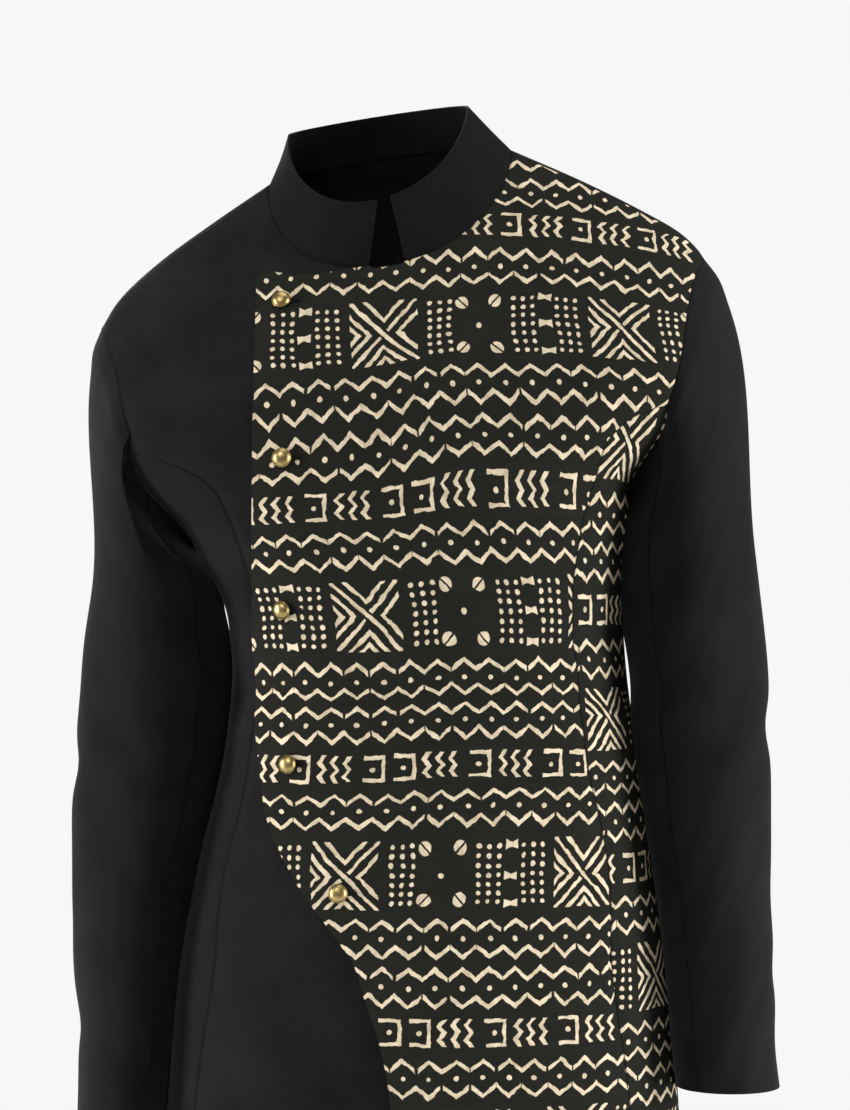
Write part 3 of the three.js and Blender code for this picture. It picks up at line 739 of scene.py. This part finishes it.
def printed(tree, place, block_at, drift, bend):
    """Where the print is: 1 on its cream lines and dots, 0 on the dark ground."""
    drawn = wobbled(tree, wobbled(tree, place, 26, 4.2), 5, 1.5)
    parts = tree.nodes.new("ShaderNodeSeparateXYZ")
    tree.links.new(drawn, parts.inputs[0])
    across, up = Field(tree, parts.outputs[0]), Field(tree, parts.outputs[1])
    brush = (noise_field(tree, place, 7, 2) - 0.5) * 2.6
    high = up.repeated(REPEAT_HIGH)
    row = (up - high) * (1 / REPEAT_HIGH)
    along = across - row * row.make("MULTIPLY_ADD", bend, drift)
    away = abs(high)
    outer = away.past(62)
    band = away - outer.make("MULTIPLY_ADD", NEXT_BAND, BAND)
    in_squiggles = high.past(62.7)

    # Double zigzags, whose upper and lower lines mirror each other, with a dot in each diamond
    slant = (along + ZIGZAG_START).make("PINGPONG", ZIGZAG / 2)
    line = abs(band) - slant.make("MULTIPLY_ADD", 0.77, 5.6)
    lift_of_brush = slant - noise_field(tree, place, 16, 0) * 5
    mask = (abs(line) * 0.79 - brush).under(STROKE) & lift_of_brush.over(-2.3, 0.7)
    centre = (along + ZIGZAG_START).repeated(ZIGZAG, ZIGZAG / 2)
    mask = mask | (centre.squared(band) - brush * 1.2).under(3.4, 1.2)
    mask = mask & away.past(BLOCK_HIGH) & in_squiggles.make("LESS_THAN", 0.5)

    # Blocks: a cross of nested chevrons, dotted columns, bow ties and four coffee beans
    block = along.repeated(REPEAT_WIDE, block_at)
    side = abs(block)
    chevron = abs(side - away)
    falling = abs(block + high) * 0.707
    facing_away = (block + high).past(0) * 20
    nested = chevron.make("MINIMUM", abs(chevron - 10.3))
    nested = nested.make("MINIMUM", abs(chevron - 18.6) + facing_away)
    cross = (nested * 0.707 - brush).under(STROKE) & side.under(24.6) & away.under(24)
    gap = falling.over(1.6) & falling.under(3.4) & chevron.under(2.6)
    cross = cross & gap.make("LESS_THAN", 0.5)
    far = block.make("LESS_THAN", -62)
    column = side - far.make("MULTIPLY_ADD", 33.6, 41.4)
    dots = column.repeated(7.3).squared(high.repeated(6.4)) - brush * 2.2
    dots = dots.under(2.9, 1.2) & abs(column).under(10.9, 0.2) & away.under(22.3, 0.2)
    tie = abs(block + TIES_AWAY)
    ties = (abs(high.repeated(20)) - tie * 0.33 - brush * 0.4).under(1.4) & tie.under(4.9) & away.under(26)
    bean_side = abs(block - BEANS_AWAY) - 12.7
    bean_up = away - 18
    beans = (bean_side.squared(bean_up) - brush * 3).under(23, 5) & abs(bean_side - bean_up).over(1.0, 0.5)
    spot = (block - BEANS_AWAY).squared(high).under(4.4, 1.4)
    blocks = cross | dots | ties | beans | spot
    mask = mask | (blocks & away.under(BLOCK_HIGH, 0.2))

    # Squiggles in threes between brackets that open to the right side of the jacket, each row at its
    # own places along the cloth
    top_row, second_row, lowest_row = (row.make("COMPARE", -n, 0.1) for n in (0, 1, 3))
    place_in = along + SQUIGGLE_START - second_row * SECOND_ROW_SHIFT - lowest_row * LOWEST_ROW_SHIFT
    place_in = place_in - (lowest_row & place_in.past(LOWEST_ROW_END)) * LOWEST_ROW_JUMP
    place_in = place_in.make("WRAP", SQUIGGLE_REPEAT, 0)
    in_turn = (along + TOP_ROW_START).make("WRAP", TOP_ROW_TURN[1], TOP_ROW_TURN[0])
    place_in = place_in + (in_turn - place_in) * top_row
    three = place_in - place_in.past(42).make("MULTIPLY_ADD", 56, 14)
    bent = band.make("PINGPONG", 4.9).make("MULTIPLY_ADD", -0.78, 1.9)
    squiggle = (abs(three.repeated(9.5) - bent) * 0.79 - brush).under(STROKE)
    squiggle = squiggle & abs(three).under(13.8, 0.2) & abs(band).under(9.9)
    bracket = place_in - place_in.past(74).make("MULTIPLY_ADD", 56, 43.2)
    bracket = bracket - place_in.past(110.5) * 22.4
    outline = (bracket - 7).make("MAXIMUM", abs(band) - 9)
    outline = (abs(outline) - brush).under(STROKE) & bracket.over(-7.4)
    dot = (bracket + 0.5).squared(band).under(3.4, 1.2)
    return mask | ((squiggle | outline | dot) & in_squiggles)


def printed_cloth(name, block_at, drift, bend):
    """Hand-dyed charcoal cotton, woven in narrow strips, with the cream print."""
    material, tree, shader = new_material(name)
    place = cloth_place(tree)
    mask = printed(tree, place, block_at, drift, bend)
    streaks = noise_field(tree, place, 2.2, 2, (0.03, 1, 1))
    clouds = noise_field(tree, place, 40, 2)
    uneven = streaks * 0.55 + clouds * 0.45
    ground = mix_colours(tree, uneven, (0.0085, 0.0086, 0.0078), (0.0225, 0.023, 0.0185))
    worn = noise_field(tree, place, 9, 3)
    fading = worn.make("MULTIPLY_ADD", 2.2, -0.45, clamp=True)
    cream = mix_colours(tree, fading, (0.44, 0.355, 0.235), (0.79, 0.67, 0.485))
    painted = mix_colours(tree, mask, ground, cream)
    seam_shade = seam_distance(tree).over(0.5, 1.2)
    shaded = mix_colours(tree, seam_shade, (0.003, 0.003, 0.003), painted)
    tree.links.new(shaded, shader.inputs["Base Color"])
    shader.inputs["Roughness"].default_value = 0.92
    shader.inputs["Specular IOR Level"].default_value = 0.06

    flat = tree.nodes.new("ShaderNodeSeparateXYZ")
    tree.links.new(place, flat.inputs[0])
    warp = Field(tree, flat.outputs[0]).make("PINGPONG", 0.55)
    weft = Field(tree, flat.outputs[1]).make("PINGPONG", 0.55)
    heights = warp * 0.5 + weft * 0.5 + streaks * 0.9 + mask * 0.35
    emboss(tree, shader, heights, 0.35, 0.0006)
    return material


front_print = printed_cloth("mud_cloth_front", -4.2, 36.95, 6.65)
side_print = printed_cloth("mud_cloth_side", 178, 56, 35)

body_panel(
    "front_left_centre", math.radians(-82.5), QUARTER,
    [lambda p: princess_left(p[..., 2]) - p[..., 0], lap_outline, clear_of_left_arm],
    front_print, lift=lap_lift, mapped=on_the_print,
    free_edge=lap_outline,
)
body_panel(
    "front_left_side", math.radians(22.5), QUARTER,
    [lambda p: p[..., 0] - princess_left(p[..., 2]), clear_of_left_arm],
    side_print,
    mapped=lambda points, arcs: on_the_print(points, arcs) + (0, 78.6),
)

# Back
# Two black suiting panels with a seam down the middle, sewn to the fronts at shoulders and sides.
for side, first, armhole in (
    ("left", QUARTER, clear_of_left_arm),
    ("right", 2 * QUARTER, clear_of_right_arm),
):
    body_panel(
        f"back_{side}", first, first + QUARTER, [armhole],
        black_cloth,
    )

# Collar
# One standing band of black suiting round the neck, open at the front where its two ends part.
COLLAR = [
    ("collar seam", -91, -14, 92, 11, 61, 62, 79, 14, 2),
    ("half height", -83, 5, 76, 27, 62, 60, 73, 12, 2),
    ("collar top", -77, 24, 59, 45, 60, 56, 66, 10, 2),
]
COLLAR_END_RIGHT = [(-84, -16), (-34, -9)]
COLLAR_END_LEFT = [(-80, 13), (-26, 0.5)]
collar_surface = oval_surface(COLLAR)
collar_end_right = smooth_line(COLLAR_END_RIGHT)
collar_end_left = smooth_line(COLLAR_END_LEFT)


def collar_outline(turn, level):
    points = collar_surface(turn, level)
    x, z = points[..., 0], points[..., 2]
    ends = np.where(turn < math.pi, x - collar_end_left(z), collar_end_right(z) - x)
    return np.where(points[..., 1] > 0, 100, ends)


collar_levels = np.linspace(collar_surface.level["collar seam"], collar_surface.level["collar top"], 14)
patch = grid(np.linspace(math.radians(2), math.radians(368), 190), collar_levels)
places, triangles = cut(patch, collar_outline, 0.9)
turn, level = places.T
points = collar_surface(turn, level)
collar_arcs = arc_map(collar_surface, np.linspace(0, 6.5, 300), collar_levels, math.pi)
piece = cloth_piece(
    "collar", "collar", points, triangles, collar_arcs(turn, level), collar_in_painted_shade,
    (level - collar_levels[0]) * 1.1,
)

# Sleeves
# Two-piece sleeves of black suiting, an upper and an under piece each, set into the armholes.
# They hang close beside the body, bent a little forwards, with loose folds at the elbow.
# z, side by the body, far side, front, back
SLEEVE_RIGHT = [
    (-741, -170, -235, -80, 18), (-714, -168, -234, -78, 22), (-651, -162.5, -234, -75, 27),
    (-594, -156, -238, -71, 31), (-525, -143, -239, -70, 36), (-461, -127, -239, -69, 43),
    (-402, -119, -234, -68, 50), (-360, -120.6, -231, -66, 57), (-325, -127.5, -226, -65, 61),
]
SLEEVE_LEFT = [
    (-692, 215, 292, -80, 18), (-664, 212, 289, -78, 21), (-612, 207.5, 290, -73, 28),
    (-562, 201.5, 287, -71, 33), (-501, 193, 287, -70, 38), (-437, 183.5, 287, -69, 45),
    (-375, 179.5, 285, -67, 53), (-325, 173.5, 280, -65, 60), (-290, 174.5, 276, -64, 62),
]
RIGHT_REACH = [(0, 0.08), (0.5, 0.5), (1, 0.35)]
LEFT_REACH = [(0, 0.08), (0.5, 0.5), (1, 0.6)]
SLEEVE_SET = -0.9  # under zero, since the sleeves start a little inside the armhole's line
HEAD_LENGTH = 100  # from the armhole to the upper arm
HEAD_RIDGE = 1.6  # how far the head stands up past its seam
RIDGE_PLACE = 9
RIDGE_WIDTH = 6
SLEEVE_GROOVE = 0.7
SLEEVE_GROOVE_WIDTH = 3
OVER_STEPS = 81  # points of the armhole's line over the shoulder
HALVINGS = 24
FRONT_SLEEVE_SEAM = 50
BACK_SLEEVE_SEAM = 290


def armhole_loop(clear, side):
    """The closed line of an armhole: up its front edge from the armpit, and down its back edge."""
    side_turn = side * QUARTER
    top = body.level["shoulder tip"] - 0.5
    low, high = body.level["chest"], body.level["blades"]
    for _ in range(20):
        middle = (low + high) / 2
        if clear(body(np.array(side_turn), np.array(middle))) > 0:
            low = middle
        else:
            high = middle
    levels = high + (top - high) * (1 - np.cos(np.linspace(0, math.pi, 160))) / 2

    def edge(start):
        inside = np.full(len(levels), start)
        outside = np.full(len(levels), side_turn)
        for _ in range(HALVINGS):
            middle = (inside + outside) / 2
            is_in = clear(body(middle, levels)) > 0
            inside = np.where(is_in, middle, inside)
            outside = np.where(is_in, outside, middle)
        return outside

    ahead, behind = edge(side * 0.35), edge(side * (math.pi - 0.35))
    over = np.linspace(ahead[-1], behind[-1], OVER_STEPS)
    under_edge = np.full(OVER_STEPS, top - 1)
    above_edge = np.full(OVER_STEPS, top + 30)
    for _ in range(HALVINGS):
        middle = (under_edge + above_edge) / 2
        is_in = clear(body(over, middle)) > 0
        above_edge = np.where(is_in, middle, above_edge)
        under_edge = np.where(is_in, under_edge, middle)
    peak = body(over, above_edge)
    tip = np.abs(over - side_turn).argmin()
    front_line = np.concatenate([body(ahead, levels), peak[1:tip + 1]])
    back_line = np.concatenate([peak[tip:-1], body(behind, levels)[::-1]])
    lines = []
    for line in (front_line, back_line):
        along = np.concatenate([[0], np.linalg.norm(np.diff(line, axis=0), axis=1).cumsum()])
        lines.append((along / along[-1], line))

    def read(share):
        both = []
        for (along, line), place in zip(lines, (share * 2, share * 2 - 1)):
            both.append(np.stack([np.interp(place, along, line[:, k]) for k in range(3)], axis=-1))
        return np.where((share < 0.5)[..., None], both[0], both[1])

    return read


def sleeve_surface(rows, clear, side, reach):
    """Around runs from the side by the body to the front, outside and back.
    Down is 0 at the armhole, 1 at the upper arm and 2 at the cuff."""
    loop = armhole_loop(clear, side)
    armpit_z = loop(np.array([0.0]))[0, 2]
    tip_z = loop(np.array([0.5]))[0, 2]
    by_body, far_side, ahead, behind = [smooth_line(rows, 0, column) for column in range(1, 5)]
    top, cuff = rows[-1][0], rows[0][0]
    swing = smooth_line(reach)

    def arm_point(around, z):
        a, b, c, d = by_body(z), far_side(z), ahead(z), behind(z)
        across = (a + b) / 2 + np.cos(around) * (a - b) / 2
        deep = (c + d) / 2 + np.sin(around) * (c - d) / 2
        return np.stack([across, deep, np.broadcast_to(z, across.shape)], axis=-1)

    def surface(around, down):
        turn = np.mod(around, 2 * math.pi)
        arm = arm_point(turn, top + (cuff - top) * (np.maximum(down, 1) - 1))
        start = loop(turn / (2 * math.pi))
        start[..., 0] += side * SLEEVE_SET
        end = arm_point(turn, np.full(turn.shape, float(top)))
        length = np.linalg.norm(start - end, axis=-1)[..., None]
        height = np.clip((start[..., 2] - armpit_z) / (tip_z - armpit_z), 0, 1)
        out = swing(height)
        leave = np.stack([side * out, 0 * out, -np.sqrt(1 - out * out)], axis=-1) * length
        arrive = arm_point(turn, np.full(turn.shape, top - 10.0)) - end
        arrive = arrive / np.linalg.norm(arrive, axis=-1)[..., None] * length
        t = np.clip(down, 0, 1)[..., None]
        u = 1 - t
        head = start * u * u * (1 + 2 * t) + leave * t * u * u
        head = head + end * t * t * (3 - 2 * t) - arrive * t * t * u
        return np.where((down >= 1)[..., None], arm, head)

    surface.step = 0.01
    return surface


def sleeve_piece(name, surface, side, first, last):
    edge = SEAM_GAP / 110
    steps = int(round(math.radians(last - first) * 60 / BODY_STEP))
    turns = np.linspace(math.radians(first) + edge, math.radians(last) - edge, steps)
    if side > 0:
        turns = -turns[::-1]
    downs = np.concatenate([np.linspace(0, 1, 45), np.linspace(1, 2, 110)[1:]])

    def facing(around, down):
        return surface(-side * around, down)

    facing.step = 0.01
    places, triangles = grid(turns, downs)
    around, down = places.T
    points = facing(around, down)
    normals = outward(facing, around, down)
    arcs = arc_map(facing, turns, downs, turns[0])
    from_seam = np.minimum(around - turns[0], turns[-1] - around) * 50
    from_arm = down * HEAD_LENGTH
    rise = -fold_depth(points) * np.clip(from_arm / FOLD_FADE, 0, 1)
    rise -= SLEEVE_GROOVE * np.exp(-((from_seam / SLEEVE_GROOVE_WIDTH) ** 2))
    rise += HEAD_RIDGE * np.exp(-(((from_arm - RIDGE_PLACE) / RIDGE_WIDTH) ** 2))
    from_seam = np.minimum(from_seam, from_arm)
    points = points + normals * rise[:, None]
    piece = cloth_piece(
        name, name, points, triangles, arcs(around, down), black_cloth, from_seam,
    )
    return piece


for side_name, side, rows, clear, reach in (
    ("right", -1, SLEEVE_RIGHT, clear_of_right_arm, RIGHT_REACH),
    ("left", 1, SLEEVE_LEFT, clear_of_left_arm, LEFT_REACH),
):
    surface = sleeve_surface(rows, clear, side, reach)
    upper = f"sleeve_{side_name}_upper"
    sleeve_piece(upper, surface, side, FRONT_SLEEVE_SEAM, BACK_SLEEVE_SEAM)
    under = f"sleeve_{side_name}_under"
    sleeve_piece(under, surface, side, BACK_SLEEVE_SEAM - 360, FRONT_SLEEVE_SEAM)

# Buttons
# Five domed brass buttons, pressed from sheet with a rolled edge, on shanks sewn down with black thread.
# Each stands in a worked buttonhole that runs from it towards the jacket's left.
BUTTONS = [(-79, -108.5), (-77, -224), (-76, -334), (-72, -448), (-36, -541)]  # x, z
BUTTON_RADIUS = 6.8
DOME = 4.4
SHANK = 2.2
ROLLED_EDGE = 0.6  # its radius
THREAD_RADIUS = 1.9
BUTTONHOLE = 7.5  # half its length
HOLE_SQUARE = 1.35  # how square its ends are
HOLE_SIDE = 0.9  # half the way between its long sides
HOLE_STEPS = 48
HOLE_CORNERS = 6


def front_place(x, z):
    """The place and outward direction on the printed front seen at x and z."""
    turn, level = np.array([0.0]), np.array([float(z)])
    # each step falls a little short, so that the search settles
    for _ in range(40):
        point = body(turn, level)
        turn = turn + (x - point[:, 0]) / 260
        level = level + (z - point[:, 2]) / 1.6
    normal = outward(body, turn, level)
    point = body(turn, level)
    point = point + normal * (lap_lift(point) - fold_depth(point))[:, None]
    return Vector(point[0] / 1000), Vector(normal[0])


brass, tree, metal = new_material("brass")
own_place = tree.nodes.new("ShaderNodeTexCoord")
tarnish = noise_field(tree, own_place.outputs["Object"], 0.004, 3)
aged = tarnish.make("MULTIPLY_ADD", 2.4, -0.7, clamp=True)
metal_colour = mix_colours(tree, aged, (0.50, 0.385, 0.16), (0.29, 0.21, 0.085))
tree.links.new(metal_colour, metal.inputs["Base Color"])
tree.links.new(aged.make("MULTIPLY_ADD", 0.18, 0.3).socket, metal.inputs["Roughness"])
metal.inputs["Metallic"].default_value = 1
scuffs = noise_field(tree, own_place.outputs["Object"], 0.0008, 2)
emboss(tree, metal, scuffs, 0.12, 0.0003)

thread, tree, strand = new_material("thread")
own_place = tree.nodes.new("ShaderNodeTexCoord")
turns_of_thread = noise_field(tree, own_place.outputs["Object"], 0.0005, 1, (1, 1, 3))
strand_colour = mix_colours(tree, turns_of_thread, (0.002, 0.002, 0.002), (0.014, 0.014, 0.014))
tree.links.new(strand_colour, strand.inputs["Base Color"])
strand.inputs["Roughness"].default_value = 0.7
strand.inputs["Specular IOR Level"].default_value = 0.15
emboss(tree, strand, turns_of_thread, 1.0, 0.0003)

for number, (x, z) in enumerate(BUTTONS, start=1):
    place, normal = front_place(x, z)
    stand = normal.to_track_quat("Z", "Y").to_matrix().to_4x4()
    stand.translation = place
    bpy.ops.mesh.primitive_uv_sphere_add(segments=40, ring_count=24, radius=1)
    button = bpy.context.object
    bpy.ops.object.mode_set(mode="EDIT")
    bpy.ops.mesh.bisect(plane_co=(0, 0, 0), plane_no=(0, 0, 1), clear_inner=True, use_fill=True)
    bpy.ops.mesh.select_all(action="SELECT")
    bpy.ops.transform.resize(
        value=(BUTTON_RADIUS / 1000, BUTTON_RADIUS / 1000, DOME / 1000), center_override=(0, 0, 0)
    )
    bpy.ops.transform.translate(value=(0, 0, (SHANK + ROLLED_EDGE) / 1000))
    bpy.ops.mesh.primitive_torus_add(
        major_segments=40, minor_segments=10, location=(0, 0, (SHANK + ROLLED_EDGE) / 1000),
        major_radius=(BUTTON_RADIUS - ROLLED_EDGE / 2) / 1000, minor_radius=ROLLED_EDGE / 1000,
    )
    bpy.ops.object.mode_set(mode="OBJECT")
    button.name = f"button_{number}_brass"
    button.data.name = button.name
    button.data.transform(stand)
    button.data.materials.append(brass)
    bpy.ops.object.shade_smooth_by_angle(angle=math.radians(40))
    button.select_set(False)
    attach(button, "root")
    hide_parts(f"button_{number}")

    bpy.ops.mesh.primitive_cylinder_add(
        vertices=20, radius=THREAD_RADIUS / 1000, depth=(SHANK + 2 * ROLLED_EDGE) / 1000,
        location=(0, 0, SHANK / 2000),
    )
    shank = bpy.context.object
    shank.name = f"button_{number}_thread"
    shank.data.name = shank.name
    shank.data.transform(Matrix.Translation((0, 0, SHANK / 2000)))
    shank.location = (0, 0, 0)
    shank.data.transform(stand)
    shank.data.materials.append(thread)
    bpy.ops.object.shade_smooth_by_angle(angle=math.radians(40))
    shank.select_set(False)
    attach(shank, "root")

    # the buttonhole's worked edge, a narrow ring of thread laid on the cloth
    rings = []
    for step in range(HOLE_STEPS):
        angle = 2 * math.pi * step / HOLE_STEPS
        along = max(-1, min(1, HOLE_SQUARE * math.cos(angle))) * BUTTONHOLE
        beside = HOLE_SIDE * math.sin(angle)
        middle, lift_of_ring = front_place(x + BUTTONHOLE - 1.5 + along, z + beside)
        for corner in range(HOLE_CORNERS):
            around = 2 * math.pi * corner / HOLE_CORNERS
            sideways = Vector((0, 0, 1)) * math.cos(around) * 0.0008
            rings.append(middle + sideways + lift_of_ring * (0.0003 + 0.0006 * math.sin(around)))
    faces = []
    for step in range(HOLE_STEPS):
        for corner in range(HOLE_CORNERS):
            a = step * HOLE_CORNERS + corner
            b = step * HOLE_CORNERS + (corner + 1) % HOLE_CORNERS
            c = (b + HOLE_CORNERS) % len(rings)
            d = (a + HOLE_CORNERS) % len(rings)
            faces.append((a, d, c, b))
    ring_mesh = bpy.data.meshes.new(f"buttonhole_{number}")
    ring_mesh.from_pydata(rings, [], faces)
    ring_mesh.materials.append(thread)
    buttonhole = bpy.data.objects.new(f"buttonhole_{number}", ring_mesh)
    bpy.context.scene.collection.objects.link(buttonhole)
    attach(buttonhole, "root")
